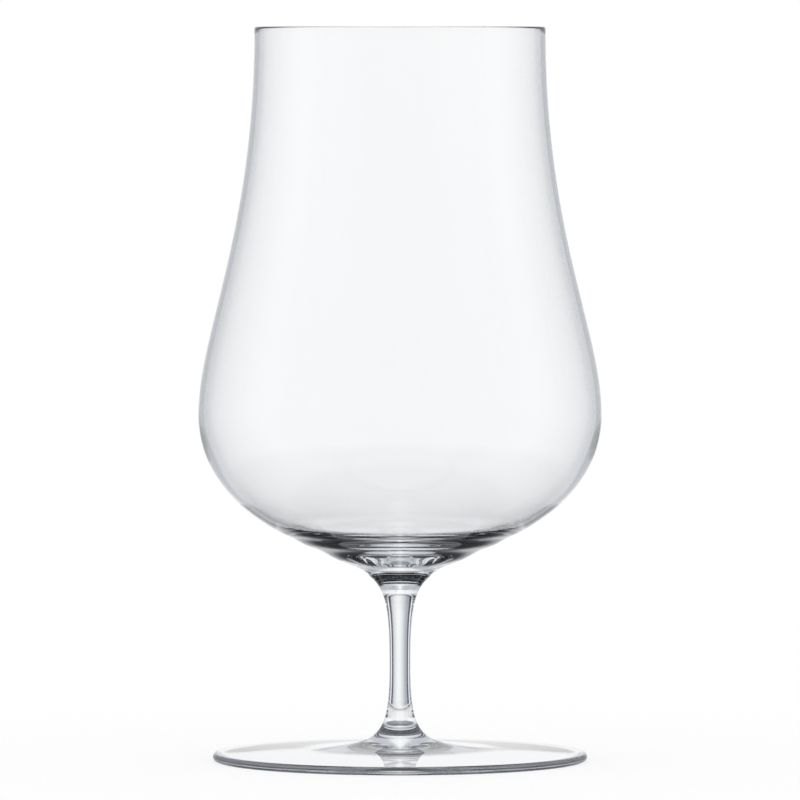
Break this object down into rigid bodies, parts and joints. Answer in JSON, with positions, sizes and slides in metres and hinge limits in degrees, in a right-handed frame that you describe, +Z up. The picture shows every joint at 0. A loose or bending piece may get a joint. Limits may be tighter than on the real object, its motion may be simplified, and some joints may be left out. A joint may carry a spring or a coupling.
{
  "type": "stemmed beer glass",
  "caption": "Clear stemmed beer glass: a tulip bowl with a wide belly and narrower mouth on a short drawn stem and a thin round foot, all one piece.",
  "frame": {"origin": "centre of the foot's underside, on the surface that the glass stands on", "axes": "+Z up along the stem, out of the mouth of the bowl; the glass is a body of revolution about Z, so +X and +Y are alike"},
  "size_m": [0.0962, 0.0962, 0.175],
  "materials": {
    "clear_glass": "fire-polished, clear, glossy"
  },
  "bodies": {
    "root": {"beer_glass": "clear_glass"}
  },
  "joints": []
}
